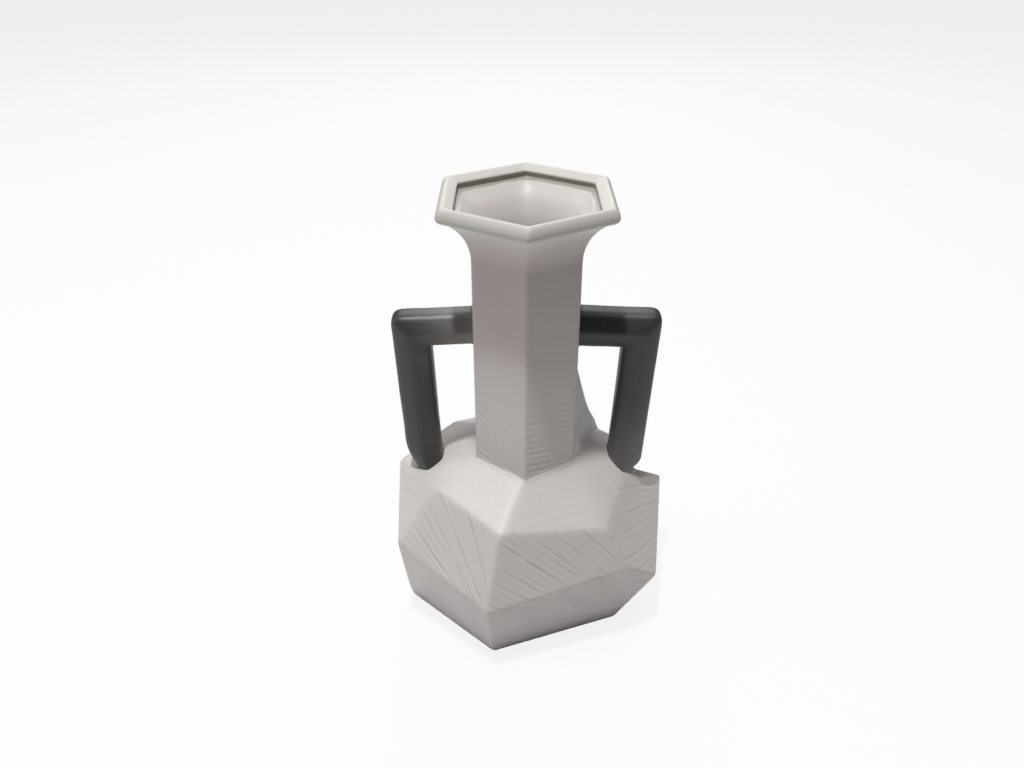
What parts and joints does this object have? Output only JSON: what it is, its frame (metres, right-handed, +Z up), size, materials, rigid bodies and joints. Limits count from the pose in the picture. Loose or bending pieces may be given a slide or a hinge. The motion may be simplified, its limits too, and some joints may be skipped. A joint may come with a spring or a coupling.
{
  "type": "ceramic vase",
  "caption": "Faceted ceramic vase with an open hexagonal neck, a flared lip and squared side handles, for cut flowers or for show.",
  "frame": {"origin": "middle of the flat foot, on the axis of the neck", "axes": "+Z up along the neck's axis, X through both handles, -Y to the front, where a corner of the neck points"},
  "size_m": [0.1532, 0.1419, 0.25],
  "materials": {
    "glaze": "satin glaze over stoneware, warm pale grey",
    "handle_glaze": "near-black satin glaze on the handles"
  },
  "bodies": {
    "root": {"vase": "glaze"}
  },
  "joints": []
}
